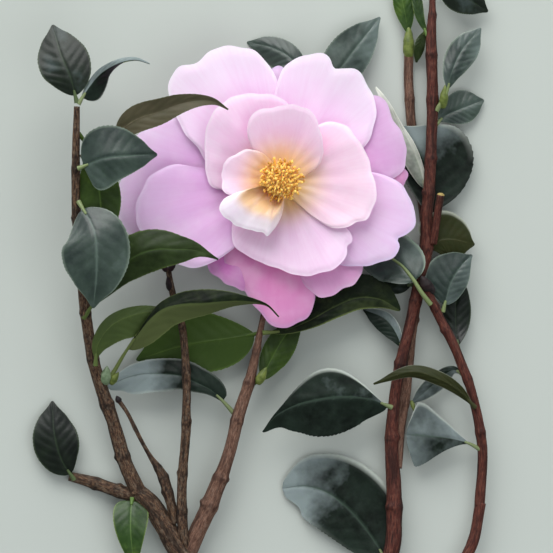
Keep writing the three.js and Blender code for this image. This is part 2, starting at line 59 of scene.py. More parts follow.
# Limbs run from foot to tip. A point is (x, y, z, radius).
LIMBS = {
    "main_stem": [(1.5, -160, 6.1, 6.6), (2.5, -149, 6.6, 6.4), (3.5, -139, 7, 6.2), (5, -130.5, 7, 4.6)],
    "left_fork": [(2.5, -139, 7, 5.4), (-12, -120, 7.4, 5.3), (-29, -100, 7.8, 5.1), (-39, -86.5, 8, 4.9),
        (-46, -75, 8, 4.2), (-52, -65.5, 8, 3.8), (-58.5, -59.5, 8, 3.2)],
    "left_limb": [(-57, -61, 8, 3.3), (-62.5, -48.5, 9, 2.9), (-67, -33, 11, 2.7), (-71, -21, 13, 2.6),
        (-74.5, -9.5, 16, 2.4), (-77.5, 9, 23, 2.2), (-79.5, 29.5, 31, 2), (-81, 52, 38, 1.8),
        (-81, 73, 43, 1.6), (-80.5, 93.5, 46, 1.2)],
    "low_branch": [(-55.5, -63, 7.4, 2.8), (-65, -60.5, 5, 2.6), (-74, -57.5, 3.2, 2.4),
        (-85, -54.5, 1.9, 1.9)],
    "dead_twig": [(-42, -73, 9.4, 2), (-45, -61, 12, 2), (-47.5, -53.5, 12.4, 1.9), (-52, -46.5, 12.4, 1),
        (-57, -37.5, 12.4, 0.8), (-61.5, -28.5, 12, 0.8), (-65, -23.5, 12, 0.9)],
    "middle_stem": [(-37.5, -85.5, 8.4, 2.5), (-39, -76, 11.6, 2.2), (-39.5, -63, 13, 2),
        (-39, -51, 13.6, 1.9), (-38, -39, 14, 1.9), (-37.5, -23, 15, 1.7), (-38, -7, 15.5, 1.6),
        (-39.5, 7, 15.5, 1.4), (-43, 19, 15.3, 1.3), (-45, 29.5, 15, 1.1)],
    "bloom_limb": [(-38.5, -88, 8, 3.7), (-32.5, -75, 8.5, 3.4), (-27, -62.5, 9, 3.3),
        (-20.5, -45, 9.5, 2.5), (-16.5, -29, 10, 2.5), (-12, -15, 10, 2.1), (-9, -1, 10, 1.4),
        (-5.5, 17, 9, 1.2), (-3, 37, 8.5, 1.2), (-0.5, 54.5, 9, 1.5), (0.5, 63, 11.6, 1.9)],
    "hidden_twig": [(-1.5, 42.5, 8, 1.3), (4, 61, 7.5, 1.2), (9, 79, 7.5, 1.1), (12.5, 97, 8, 0.9)],
    "right_stem": [(5.5, -137, 7, 4.6), (22, -119, 7.6, 4), (37, -101.5, 8, 3.5), (45, -84.5, 8.2, 3.2),
        (46, -63, 8.4, 3.1), (45, -43, 9, 2.7), (45.5, -29, 10, 2.4), (47, -17, 10, 2.3), (49, -7, 10, 2.3),
        (53, 9, 10, 2.3), (56, 23, 10, 2.5), (59, 37, 10, 2.5), (59, 49, 10, 2.4), (60, 61, 10, 2.3),
        (61, 81, 9.4, 2.2), (61.5, 97, 8.8, 2.3), (61, 117, 8, 2.2), (61, 125.5, 7.4, 2),
        (61.5, 133.5, 6.6, 1.4), (61, 151, 4.6, 1.1)],
    "rear_stem": [(47, -51, 7.6, 2.2), (48.5, -34.5, 5.4, 2.2), (50.5, -21, 3.6, 2.2), (52, -7, 3, 2.2),
        (53, 3, 2.7, 2.1), (54.5, 13, 2.6, 2.1), (57.5, 29, 2.4, 2.1), (58.5, 47, 2.2, 2), (56, 69, 2.1, 2),
        (53, 89, 2, 1.9), (52, 107, 2.2, 1.9), (52, 117, 2.8, 1.8), (51.5, 122.5, 3.4, 1.3)],
    "side_branch_foot": [(29, -111.5, 7.8, 2.8), (49.5, -105.5, 7.4, 2.6), (67, -97, 7, 2.4),
        (77, -83, 6.4, 2.3), (81, -65, 6, 2.2)],
    "side_branch": [(80.5, -66.5, 6, 2.1), (81.5, -43, 8, 2), (77.5, -21.5, 10, 1.9), (72.5, -7.5, 11, 1.9),
        (69, 0.5, 11.5, 1.9), (64.5, 9, 12, 1.8), (60.5, 17.5, 13.6, 1.8), (57.5, 23, 15, 2.2)],
    "cut_stub": [(61.5, 39.5, 11, 1.7), (63, 49, 13.5, 1.6), (64.5, 59, 16, 1.5)],
}
LIMB_BARK = {
    "right_stem": "red", "side_branch": "red", "side_branch_foot": "red", "cut_stub": "red",
    "rear_stem": "tan", "bloom_limb": "tan",
}
# Distances along a limb at which leaves once grew, each a swollen ring with a scar.
LIMB_NODES = {
    "main_stem": [12],
    "left_fork": [30, 62],
    "left_limb": [16, 38, 58, 78, 99, 118, 138],
    "dead_twig": [13, 19, 24, 42],
    "middle_stem": [18, 33, 54, 74, 92],
    "bloom_limb": [24, 36, 60, 76, 90],
    "right_stem": [50, 84, 112, 142, 168, 190, 212, 226, 250, 268, 284],
    "rear_stem": [26, 60, 110, 150],
    "side_branch": [30, 52, 74, 84],
    "low_branch": [10, 20],
}

# A leaf. One number stands for both halves, two for left and right, four for left at stalk and tip
# and right at stalk and tip. rib: from stalk to tip. halves: how far each half reaches from the rib.
# tilt: degrees that a half folds up from level. widest: where along the blade a half is broadest.
# fullness: below 1 a half keeps its width towards its ends, above 1 it narrows to a peak.
# The reflection and the margin: how strong the painted reflection of the sky is, and how strong the pale
# margin is, which is partly the leaf's own paler edge and partly a painted highlight. ridge: how many steps
# its stalk runs on under its blade.
Leaf = namedtuple("Leaf", "tone halves tilt widest rib stalk fullness film margin ridge",
                  defaults=(3, 0.85, 0, None, 26))
LEAVES = {
    "far_left": Leaf("silver", (1.8, 6.8), (-30, -30, -25, -118), (0.4, 0.16), [(-80, 94.5, 45),
        (-75.5, 101.5, 45), (-70.5, 107, 46.5), (-63, 111, 46.5), (-57, 112, 45.5), (-51.5, 110.5, 43)],
        fullness=(0.85, 1.6), film=(0.6, 1, -0.8, 0.1)),
    "over_petals": Leaf("brown", 5.3, (4, 22, 4, 26), 0.26, [(-79, 73.5, 42), (-70.5, 79.5, 40),
        (-62.5, 85, 41.5), (-56, 89, 43), (-48, 91.5, 44), (-40, 94.5, 44.5), (-32, 96, 44),
        (-26, 95.5, 42.5), (-20.5, 92.5, 40)], fullness=1.1, stalk=18),
    "front_upper": Leaf("grey", (12.5, 11.5), (-12, -10), (0.32, 0.14), [(-80, 69, 46), (-69, 73, 50),
        (-58.5, 74, 50), (-48.5, 74.5, 47)], fullness=(0.85, 0.7), stalk=2.5),
    "left_behind": Leaf("bright", 8, -10, 0.5, [(-80, 83, 43), (-75, 76, 41.5), (-72.5, 65, 41),
        (-71, 52, 40), (-70.5, 39, 39)], stalk=6),
    "front_lower": Leaf("grey", (13, 14), -15, 0.42, [(-80, 56, 41), (-73.5, 44, 49), (-72.5, 29.5, 50),
        (-74, 13.5, 46)], stalk=4),
    "below_bloom": Leaf("fresh", 8.4, -15, 0.5, [(-78.5, 9.5, 25), (-71, 20.5, 32), (-64, 29.5, 37.5),
        (-56, 35, 40), (-49, 37, 41), (-41, 37, 41), (-33, 36.5, 40), (-24.5, 33, 38)], fullness=1.3,
        stalk=4),
    "long": Leaf("two", (5.8, 9), (-82, 24, -14, -84), (0.5, 0.29), [(-70, -17, 14), (-67, -12.5, 16),
        (-62.5, -5, 20), (-57, 3, 25), (-52, 9, 28), (-47, 13, 29.5), (-40, 15, 30.5), (-30, 15.5, 31.5),
        (-18, 16.5, 32), (-9.5, 16, 32.5), (-5, 14.5, 32), (-0.5, 10, 31)], fullness=(2.6, 1.2), stalk=18,
        film=(-1.6, -0.2, 1.2, 0.9)),
    "arching": Leaf("moss", (3.5, 8.5), (-20, -20, -15, -30), (0.45, 0.5), [(-74, -9.5, 19), (-73, -1, 22),
        (-67, 7, 25), (-56, 11.5, 25), (-42.5, 12.5, 24)], film=(-0.5, 0.2, -0.5, 0.2)),
    "broad": Leaf("bright", (12, 12.5), -8, (0.36, 0.5), [(-7.5, 3.5, 9), (-19, 1.5, 8), (-38, -1.5, 7),
        (-58, -7.5, 5.5)], film=(-0.1, 0.9, -0.4, 0.5)),
    "dark_low": Leaf("silver", (7.5, 6.6), (-4, -4, -10, -30), (0.68, 0.35), [(-18.5, -29, 9),
        (-23, -24, 11), (-28, -19.5, 12), (-34, -16.5, 12), (-39.5, -14, 11.5), (-48, -13, 10.5),
        (-55, -13, 10), (-63, -15, 9.2), (-69.5, -18.5, 8.5)], fullness=0.55, stalk=7,
        film=(-1.2, 2.4, -3.2, 3.4), margin=(0.2, 0.5, 0.1, 0.7)),
    "small_green": Leaf("young", 6.8, -10, 0.2, [(-59.5, -63, 9), (-60, -68, 12), (-60, -77, 14),
        (-58.5, -92, 12)], stalk=1.2, film=(-1.4, 0.7, -1.4, 0.7)),
    "under_bud": Leaf("bright", (5, 6.5), -12, 0.45, [(-11, -17, 9), (-7.5, -15, 8), (-4, -8, 7.5),
        (1.5, 1.5, 7), (9, 10.5, 6)], stalk=4),
    "top_left": Leaf("grey", (7, 5), (-15, -20), 0.5, [(12.5, 98, 8), (5, 113.5, 8), (-3, 118.5, 5),
        (-13.5, 121, 0.6)], stalk=6),
    "top_right": Leaf("grey", (9, 8), (-10, -15), 0.45, [(13, 93.5, 8), (23, 108, 8), (31, 119, 7),
        (40.5, 131, 4)], stalk=5, film=(0, 0.3, 0.1, 0.5)),
    "under_bloom": Leaf("two", (9.5, 4.5), -8, (0.62, 0.6), [(-7, 3.5, 12), (2, 4.5, 12.5), (12, 8.5, 13),
        (22, 14, 13), (31, 17.5, 12.5), (40, 17, 11.5), (48.5, 12.5, 10)], fullness=0.7,
        film=(-0.8, -0.4, -0.4, 0.3), margin=(0, 0, 0.8, 0.6)),
    "tip_left": Leaf("silver", (15.5, 11.6), (-20, -15, -12, -15), 0.42, [(45, -26.5, 12), (36, -23, 16),
        (26, -22, 18.5), (16, -23, 19.5), (6, -25.5, 19), (-2, -30, 17), (-7, -36.5, 14)],
        fullness=(0.85, 3.2), stalk=1.5, film=(-0.4, -0.4, 0.3, -0.4), margin=(0, 0, 2.4, -0.9)),
    "low_left": Leaf("silver", (14, 17.5), (-5, -4, -5, -4), (0.55, 0.42), [(43.5, -89.5, 6.5),
        (37, -79, 4.8), (28, -68, 4.2), (19, -61, 3.8), (10, -58.5, 3.2), (1, -59.5, 2.2)],
        fullness=(0.38, 0.5), film=(-1.1, 1.5, -1.3, 1.25), margin=(0, 0.2, 2, 0.2)),
    "over_stem": Leaf("olive", (2.6, 3), -30, 0.42, [(78.5, -26.5, 12), (71.5, -19.5, 17), (64, -15, 20),
        (53, -12, 20), (37.5, -17, 16)]),
    "pale_low": Leaf("silver", (12.5, 13), (-12, -6), 0.78, [(81.5, -44, 8.5), (76, -41, 9.5),
        (68, -39, 9.5), (59, -38, 9.3), (51, -37.5, 9)], fullness=0.5, stalk=6, film=(0.1, 0.5, 0.8, 0.6),
        margin=(0, 0.9)),
    "behind_right": Leaf("grey", (10, 10.5), -8, (0.35, 0.28), [(60.5, 15, 15), (57, 19.5, 17),
        (53.5, 25, 17), (49, 30.5, 15), (45, 33.5, 13.4), (34.5, 41.5, 10.5), (23, 51, 9)], stalk=12,
        film=(0.1, 0.1, 0.2, 0.1), margin=(0.1, 0.1, 0.8, 0.4), ridge=110),
    "at_bud": Leaf("grey", (11, 6), (-10, -12), (0.42, 0.4), [(65.5, 12, 11), (67, 17.5, 12),
        (69, 24, 12.5), (73, 30.5, 12), (77.5, 35, 10)], fullness=(1, 0.85), film=(0, 0.1, 0.6, 0.6)),
    "green_stalk": Leaf("grey", (5, 6.5), -15, (0.5, 0.55), [(63, 93, 10), (67, 100, 12), (69, 108, 13),
        (73, 117, 11), (81, 126.5, 8)], stalk=10, film=(0.3, 0.4, 0.2, 0.4), margin=(0.5, 0.6, 0.2, 0.2)),
    "behind_stem": Leaf("silver", (10, 19.5), (-4, -5), (0.45, 0.5), [(60, 48, 8.2), (61, 55, 6.6),
        (61, 62.5, 5.8), (59, 71, 5.6), (54.5, 79, 5.7), (49, 87, 6)], fullness=(0.85, 1), stalk=4,
        film=(-0.6, -0.2, -1.2, 1.6), margin=(0.2, 0.3, -0.8, 1.3)),
    "at_stub": Leaf("olive", (11.5, 12), -10, 0.28, [(60, 36, 9), (64.5, 40.5, 9.8), (70, 41, 9.4),
        (78.5, 39, 8)], stalk=2, margin=(0.9, 0)),
    "blue": Leaf("grey", (7, 6), (-10, -6), 0.5, [(62.5, 87, 8), (66, 90.5, 6), (72, 93.5, 4.2),
        (82.5, 97.5, 2.4)]),
    "top_corner": Leaf("dark", (6.5, 7), -10, 0.42, [(61, 146.5, 6), (67, 143.5, 8), (74.5, 139, 8.5),
        (84, 133, 6)]),
    "dark_sliver": Leaf("dark", 3.4, -10, 0.45, [(54.5, 23, 6.5), (48, 22.5, 6), (43, 24.5, 5.5),
        (38.5, 28, 5)], stalk=2),
    "dark_right": Leaf("dark", (5, 6), -10, 0.45, [(72, -4, 9.3), (71, 5, 6), (71, 15, 5),
        (73.5, 26.5, 3.5)]),
    "edge_on": Leaf("pale", (5.5, 1.8), (-15, -35), 0.4, [(59, 59, 9), (56.5, 69.5, 10), (52.5, 79, 11),
        (47.5, 87, 12), (43.5, 95, 12.5), (40.5, 100, 12.5), (38.5, 102.5, 12)], film=(0.2, 1, 0.5, 1),
        margin=(0.3, 0.8, 0.9, 0.9)),
    "behind_low": Leaf("silver", (5, 2.6), -10, 0.5, [(49.5, -4, 8.4), (47, 3, 7.6), (42.5, 9, 7),
        (33.5, 13, 5.5)], stalk=2, film=(-0.4, 0.5), margin=(0, 0.9)),
    "pale_strip": Leaf("silver", 3.6, -20, 0.5, [(75, -14.5, 9.6), (70, -11.5, 8.6), (62.5, -17, 7),
        (53, -25, 6)], film=(0.3, 0.5, 0.1, 0.4), margin=0.8),
    "young_left": Leaf("young", (3.6, 3.8), -10, 0.5, [(52, 122.5, 4), (51, 129.5, 5), (49.5, 137, 6),
        (47.5, 146.5, 5)], stalk=2),
    "young_right": Leaf("young", (1.7, 1.9), -15, 0.5, [(59.5, 123.5, 7.4), (56.5, 130.5, 8),
        (55, 138.5, 8), (54, 147, 7)], stalk=1.5),
    "young_hanging": Leaf("fresh", 1.8, -15, 0.45, [(59, 126, 7), (57, 121.5, 6), (56, 117.5, 5.5),
        (55, 112.5, 4.5)], stalk=1.5),
    "limb_tip": Leaf("dark", 10, -12, 0.42, [(-80.5, 95, 45), (-83, 105, 46), (-87, 114.5, 44),
        (-90.5, 126.5, 38)]),
    "stem_tip": Leaf("dark", 8, -12, 0.45, [(59, 151, 5), (55, 157.5, 6), (51, 163, 5), (46.5, 170.5, 2)]),
    "low_branch": Leaf("dark", 9, -10, 0.42, [(-83, -56, 4), (-88, -48, 6), (-91, -37.5, 6),
        (-92, -24, 3)]),
}
UNDERSIDE_UP = {"over_petals", "arching", "broad", "over_stem", "at_stub"}

# A petal: its colour, height of its foot, how far it rises to its rim, and its rim as (degrees, reach)
# round the bloom's middle. fold: the share of its reach where a curled petal turns over; tuck: how much
# lower its sides lie; gold: how deep the gold at its foot is; cream: the share of its length that is cream.
Petal = namedtuple("Petal", "tint foot rise rim tuck gold cream fold", defaults=(0, 0.25, -1, None))
WHORLS = {
    "outer_petals": [
        Petal("lilac", 18.4, 1.5, [(138, 14), (143, 38), (150, 51), (157, 58), (164, 61), (172, 63),
            (180, 64.5), (187, 66), (192, 67), (197, 66), (202, 61), (206, 50), (212, 14)]),
        Petal("lavender", 18.4, 0.5, [(112, 14), (104, 36), (97, 44), (92, 46), (86, 44), (80, 36),
            (72, 14)]),
        Petal("deep", 18.2, 1, [(22, 14), (12, 40), (7, 49), (4, 50.5), (0, 50), (-4, 48), (-10, 30),
            (-16, 14)]),
        Petal("magenta", 18.3, 0.5, [(-108, 14), (-108, 40), (-108.5, 46.5), (-114, 46.5), (-121, 46.5),
            (-129, 46), (-134, 42), (-138, 32), (-144, 14)]),
        Petal("rose", 18.8, 1, [(-28, 14), (-38, 36), (-44, 46), (-49, 49), (-55, 50.5), (-63, 50),
            (-68, 50), (-72, 49), (-77, 43), (-83, 30), (-90, 14)]),
        Petal("deep", 19.3, 0.5, [(-60, 14), (-70, 38), (-75, 51), (-80, 56), (-86, 58.5), (-92, 58.5),
            (-97.5, 55), (-103, 50.5), (-109, 46), (-116, 42), (-124, 40), (-130, 36), (-136, 27),
            (-144, 14)]),
        Petal("lilac_pink", 19.2, 2.5, [(60, 14), (52, 36), (45, 49), (38, 52.5), (32, 51.5), (26, 51.5),
            (16, 52), (10, 51), (4, 48), (-1, 42), (-6, 30), (-12, 14)]),
        Petal("white", 20, 4, [(188, 14), (176, 24), (166, 31), (159, 35), (154, 43), (149, 48.5),
            (145, 54), (141, 58.5), (137, 60.5), (132, 61), (127, 59), (123.5, 58.5), (118, 59), (111, 58),
            (103, 54), (98, 49), (93, 42), (89, 32), (82, 14)]),
        Petal("white", 20.6, 4, [(102, 14), (96, 30), (91, 42), (86, 47.5), (80, 51), (74, 53),
            (68.5, 52.8), (64.5, 50), (61.5, 51.2), (57, 53.4), (50, 52.5), (44, 50.5), (38, 48), (33, 45),
            (27, 40.5), (21, 34), (10, 14)]),
        Petal("lavender", 20.2, 3, [(16, 14), (8, 30), (4, 40), (1, 45), (-4, 49.8), (-9, 53), (-14, 55.3),
            (-19, 56), (-23.5, 54.8), (-26.7, 52), (-28.8, 54), (-33, 54.5), (-39, 52), (-46, 47.2),
            (-56, 40.5), (-64, 30), (-74, 14)]),
    ],
    "middle_petals": [
        Petal("lilac", 21.4, 5.5, [(182, 10), (177, 24), (173.5, 32.5), (171, 42.5), (175, 49), (180, 53.8),
            (187, 57.8), (193, 59.6), (200, 60), (209, 58.5), (218, 54), (223, 50.8), (228, 45.6),
            (232, 39), (237, 28), (244, 12)]),
        Petal("blush", 22.2, 7, [(196, 10), (186, 27), (176, 30), (166, 31.5), (157, 33), (148, 36),
            (140, 37.5), (132, 38.6), (124, 39), (116, 38), (107, 36.6), (98, 34.8), (90, 33), (85, 31),
            (79, 25), (72, 10)]),
        Petal("pale", 22.2, 5.5, [(-154, 10), (-142, 24), (-130, 30.5), (-122, 32.6), (-110, 33.2),
            (-98, 34.2), (-86, 36.8), (-74, 39.6), (-63, 40.6), (-54, 40.8), (-48, 39.4), (-44.5, 37.2),
            (-41, 37.2), (-37, 34.5), (-34, 26), (-28, 10)], gold=0.6),
        Petal("peach", 23.2, 6.5, [(64, 8), (60, 20), (56, 27), (50, 31), (41, 33.6), (29, 34.8),
            (14, 35.8), (0, 37.2), (-10, 38.6), (-18, 38.3), (-25, 37), (-28.5, 34.6), (-35, 32.4),
            (-42, 28.2), (-47, 22), (-58, 9)]),
    ],
    "inner_petals": [
        Petal("blush", 26.4, 9.5, [(208, 6), (198, 20), (190, 23.5), (180, 23.6), (171, 23.8), (163, 23.8),
            (156, 22.4), (148, 20.5), (138, 18.5), (126, 14), (112, 7)], tuck=0.45, gold=0.6),
        Petal("blush", 24.8, 11, [(142, 6), (134, 15), (127, 22), (119, 27), (111, 29.2), (102, 29.2),
            (92, 29.6), (81, 30.4), (71, 30.4), (63, 29), (56.5, 26.8), (50, 24.6), (41, 22), (32, 19.8),
            (22, 16), (8, 8)], tuck=0.4),
        Petal("curl", 25.2, 11, [(-166, 7), (-164.5, 14), (-164, 21), (-160, 25.6), (-155, 27),
            (-149, 27.2), (-141, 26), (-134, 25.2), (-126, 24), (-117, 22.6), (-109, 22.2), (-104.5, 23),
            (-100, 20.4), (-94, 17), (-87, 12), (-80, 7)], tuck=0.8, gold=0.1, cream=0.76, fold=0.66),
    ],
}

# Small buds on the limbs: place, direction, length and half-width.
BUDS = {
    "green": [
        ((-9, -17, 11), (0.45, 0.85, 0.25), 8, 1.9),
        ((-68, -17, 14.5), (0.5, 0.75, 0.4), 6.5, 1.5),
        ((65.5, 94, 10), (0.12, 1, 0.2), 10, 1.8),
        ((52, 114, 2.9), (0, 1, 0.06), 14.5, 2.3),
        ((53, -24, 5.5), (0.3, -0.9, 0.3), 5.5, 0.9),
    ],
    "pale": [
        ((-70.5, -17, 14.5), (0.15, 0.9, 0.35), 8, 2.3),
    ],
    "dark": [
        ((-44, 20.5, 15.2), (-0.2, 0.9, 0.15), 6, 1.4),
        ((-45, 28.5, 15), (-0.8, 0.55, 0.2), 3.6, 1.2),
        ((-45, 28.5, 15), (0.75, 0.6, 0.2), 4.2, 1.2),
        ((60, 20.5, 14.6), (-0.5, 0.9, 0.45), 7.5, 2.4),
        ((61, 19, 14), (-0.1, 0.95, 0.3), 5.5, 1.6),
        ((-64.5, -24.5, 12), (-0.4, 0.85, 0.2), 3.2, 1.3),
    ],
    "cut": [
        ((64.5, 58.5, 15.6), (0.1, 1, 0.5), 1.4, 1.5),
    ],
}

# The colour of a petal's body and of its rim. Besides the petals' own range of pinks, the deeper tints (rose,
# deep, magenta, lilac_pink) are painted shade on outer and lower petals that lie in shadow, and the palest
# (white, curl) painted light on lit ones.
PETAL_TINTS = {
    "white": ("#f8caf1", "#fde8fc"),
    "pale": ("#efc0e4", "#f4d3ee"),
    "blush": ("#efbfdf", "#fce6f5"),
    "peach": ("#f4c4dc", "#fce3f0"),
    "curl": ("#fce8fa", "#fffaff"),
    "lavender": ("#f4beea", "#dfc0ea"),
    "lilac_pink": ("#dd9cd4", "#e0b2de"),
    "lilac": ("#e4abe0", "#e9c8ec"),
    "rose": ("#f296d4", "#ecaedc"),
    "deep": ("#ee84c0", "#cc8cbe"),
    "magenta": ("#c856ac", "#d083c4"),
}
PETAL_CREAM = "#ebc382"
PETAL_POCKET = "#d9a868"
PETAL_GOLD = "#cf9a48"

# Upper side, its dark patches, its veins, underside, its veins, margin (partly a painted highlight), painted
# sky reflection;
# roughness and shine.
LEAF_COLOURS = {
    # The dark tone: near black, the leaves' own dark green deepened by painted shade where they lie in shadow
    # behind others.
    "dark": ("#151d14", "#0a100a", "#2c3a27", "#334226", "#5c6b44", "#55654a", "#5d6c6c", 0.36, 0.25),
    # The grey tone: a lighter blue-grey upper side, painted reflection of the sky on leaves whose tops face
    # it.
    "grey": ("#35433a", "#1f2b26", "#56665c", "#4b5844", "#8c9a5c", "#8b9a88", "#66736f", 0.36, 0.4),
    "silver": ("#1a241d", "#0b110c", "#3c4b40", "#4b5844", "#8f9a6a", "#a9afa6", "#7e8988", 0.42, 0.12),
    "two": ("#1b2416", "#0d130b", "#4e5a34", "#34441f", "#7f8a52", "#76834e", "#525b36", 0.45, 0.08),
    "fresh": ("#2b381b", "#1a240e", "#40532a", "#34441f", "#66743f", "#5e7038", "#5c6c48", 0.42, 0.15),
    "moss": ("#4a5a2a", "#323f1a", "#5f6f3a", "#42512a", "#66743f", "#66743f", "#66743f", 0.42, 0.2),
    "olive": ("#26301a", "#181f10", "#444d2c", "#2a2b12", "#42432a", "#a3a798", "#6a7360", 0.45, 0.12),
    "brown": ("#3b3d2a", "#2a2b20", "#5c5844", "#4e4836", "#6c6450", "#5c6138", "#6c6450", 0.45, 0.15),
    "bright": ("#2f4216", "#1e2c0e", "#506a2c", "#35491a", "#4d6328", "#67813a", "#5f7a22", 0.45, 0.2),
    "young": ("#294217", "#182b0e", "#617b40", "#3d5a20", "#6d8846", "#8fa550", "#7f9c3a", 0.42, 0.3),
    # The pale tone: a pale grey-green, partly the leaf's own colour and partly painted reflection on a leaf
    # seen edge-on.
    "pale": ("#6a7466", "#4a5448", "#a3a894", "#6f7462", "#a6a688", "#dedcd0", "#cfd0c4", 0.45, 0.4),
}
# Cracks, bark, worn bark, flakes, and how rough it is, up to 1.
BARK_COLOURS = {
    "brown": ("#140e0b", "#4b3629", "#80654c", "#7d7060", 0.9),
    "red": ("#1d0d0b", "#4a241d", "#6d3f31", "#6a4a3f", 0.3),
    "tan": ("#33201a", "#65483a", "#8a6b5a", "#7f6a5d", 0.5),
}
# Two mottled colours, roughness, how fine the grain is, and how much light scatters through.
PLAIN_COLOURS = {
    "cut_wood": ("#b9a05f", "#7c6a3a", 0.8, 900, 0),
    "anther": ("#ffd070", "#fdb855", 0.75, 700, 0.4),
    "anther_old": ("#d69d44", "#b47e32", 0.8, 700, 0.3),
    "filament": ("#fcc066", "#ffd48c", 0.6, 900, 0.5),
    "sepal": ("#7c8a4a", "#5c6a34", 0.6, 260, 0),
    "bud": ("#6f7a38", "#48561f", 0.5, 400, 0),
    "bud_pale": ("#7f8f72", "#5c7050", 0.5, 400, 0),
    "bud_dark": ("#241012", "#0e0707", 0.7, 400, 0),
}
FLOOR_COLOUR = "#b4b9b2"


# ---------- helpers ----------

def rgb(text):
    """A hex colour as the three linear values that shaders take."""
    parts = [int(text[k:k + 2], 16) / 255 for k in (1, 3, 5)]
    return np.array([c / 12.92 if c <= 0.04045 else ((c + 0.055) / 1.055) ** 2.4 for c in parts])


def unit(v):
    return v / np.maximum(np.linalg.norm(v, axis=-1, keepdims=True), 1e-9)


def smoothstep(low, high, x):
    t = np.clip((x - low) / (high - low), 0, 1)
    return t * t * (3 - 2 * t)


CURVE_STEPS = 24


def between(t, low, high, first, last):
    """From first where t is low to last where it is high."""
    return (high - t) / (high - low) * first + (t - low) / (high - low) * last


def smooth_path(points, count):
    """Evenly spaced points on a smooth curve through the given ones. Columns past the third follow along."""
    p = np.array(points, float)
    p = np.vstack([2 * p[0] - p[1], p, 2 * p[-1] - p[-2]])
    dense = []
    for i in range(1, len(p) - 2):
        gaps = [max(np.linalg.norm(p[k + 1, :3] - p[k, :3]), 1e-6) ** 0.5 for k in (i - 1, i, i + 1)]
        k0, k1 = 0.0, gaps[0]
        k2 = k1 + gaps[1]
        k3 = k2 + gaps[2]
        for t in np.linspace(k1, k2, CURVE_STEPS, endpoint=False):
            a = between(t, k0, k1, p[i - 1], p[i])
            b = between(t, k1, k2, p[i], p[i + 1])
            c = between(t, k2, k3, p[i + 1], p[i + 2])
            ab, bc = between(t, k0, k2, a, b), between(t, k1, k3, b, c)
            dense.append(between(t, k1, k2, ab, bc))
    dense.append(p[-2])
    dense = np.array(dense)
    run = np.concatenate([[0], np.cumsum(np.linalg.norm(np.diff(dense[:, :3], axis=0), axis=1))])
    at = np.linspace(0, run[-1], count + 1)
    return np.column_stack([np.interp(at, run, dense[:, k]) for k in range(dense.shape[1])]), run[-1]


def tangents(path):
    return unit(np.gradient(path[:, :3], axis=0))


def grid_normals(grid):
    return unit(np.cross(np.gradient(grid, axis=0), np.gradient(grid, axis=1)))


def wobble(x, y, z):
    return noise.noise(Vector((x, y, z)))


def add_object(name, data):
    made = bpy.data.objects.new(name, data)
    bpy.context.scene.collection.objects.link(made)
    return made


class Build:
    """Gathers points, faces and per-point values, and makes one object of them."""

    KINDS = {1: ("FLOAT", "value"), 3: ("FLOAT_VECTOR", "vector"), 4: ("FLOAT_COLOR", "color")}

    def __init__(self):
        self.points, self.faces, self.values, self.count = [], [], {}, 0

    def add(self, points, faces, **values):
        """Each value is one number, or a row for every point."""
        points = np.reshape(points, (-1, 3))
        self.points.append(points)
        self.faces += [tuple(int(k) + self.count for k in face) for face in faces]
        self.count += len(points)
        for name, value in values.items():
            value = np.asarray(value, float)
            width = value.shape[-1] if value.ndim > 1 else 1
            rows = np.broadcast_to(value.reshape(-1, width), (len(points), width))
            self.values.setdefault(name, []).append(rows)

    def make(self, name, material, crease=None):
        """crease: the angle from which an edge stays sharp."""
        mesh = bpy.data.meshes.new(name)
        mesh.from_pydata(((np.concatenate(self.points) + PLANT_SHIFT) * MM).tolist(), [], self.faces)
        for value_name, rows in self.values.items():
            rows = np.concatenate(rows)
            kind, field = self.KINDS[rows.shape[1]]
            attribute = mesh.attributes.new(value_name, kind, "POINT")
            attribute.data.foreach_set(field, rows.astype(np.float32).ravel())
        mesh.materials.append(MATERIALS[material])
        mesh.shade_smooth()
        if crease is not None:
            mesh.set_sharp_from_angle(angle=math.radians(crease))
        mesh.update()
        mesh.validate()
        return add_object(name, mesh)


def grid_faces(rows, columns, start=0, flip=False, closed=False):
    faces = []
    for r in range(rows - 1):
        for c in range(columns if closed else columns - 1):
            a = start + r * columns + c
            b = start + r * columns + (c + 1) % columns
            face = (a, b, b + columns, a + columns)
            faces.append(face[::-1] if flip else face)
    return faces


def tube_faces(rows, sides):
    """A tube's skin, with a fan over each end to the two points that follow its rings."""
    foot, last = rows * sides, (rows - 1) * sides
    faces = grid_faces(rows, sides, closed=True)
    faces += [(foot, (k + 1) % sides, k) for k in range(sides)]
    faces += [(foot + 1, last + k, last + (k + 1) % sides) for k in range(sides)]
    return faces


def add_sheet(build, grid, normal, above, below, **values):
    """A thin closed sheet that reaches above and below a grid. Each value is told for both sides."""
    rows, columns = grid.shape[:2]
    size = rows * columns
    faces = grid_faces(rows, columns, 0, True) + grid_faces(rows, columns, size)
    at = np.arange(size).reshape(rows, columns)
    border = [*at[0], *at[1:, -1], *at[-1, -2::-1], *at[-2:0:-1, 0]]
    faces += [(a, b, b + size, a + size) for a, b in zip(border, border[1:] + border[:1])]
    joined = {name: np.concatenate([np.reshape(side, (size, -1)) for side in sides])
              for name, sides in values.items()}
    build.add(np.stack([grid + normal * above, grid - normal * below]), faces, **joined)


def frames(path):
    """Each point of a path with two directions across it, which turn as little as they can."""
    along = tangents(path)
    side = unit(np.cross(UP, along[0])) if abs(along[0][2]) < 0.95 else np.array([1.0, 0, 0])
    for row, forward in zip(path, along):
        side = unit(side - np.dot(side, forward) * forward)
        yield row[:3], side, np.cross(forward, side)


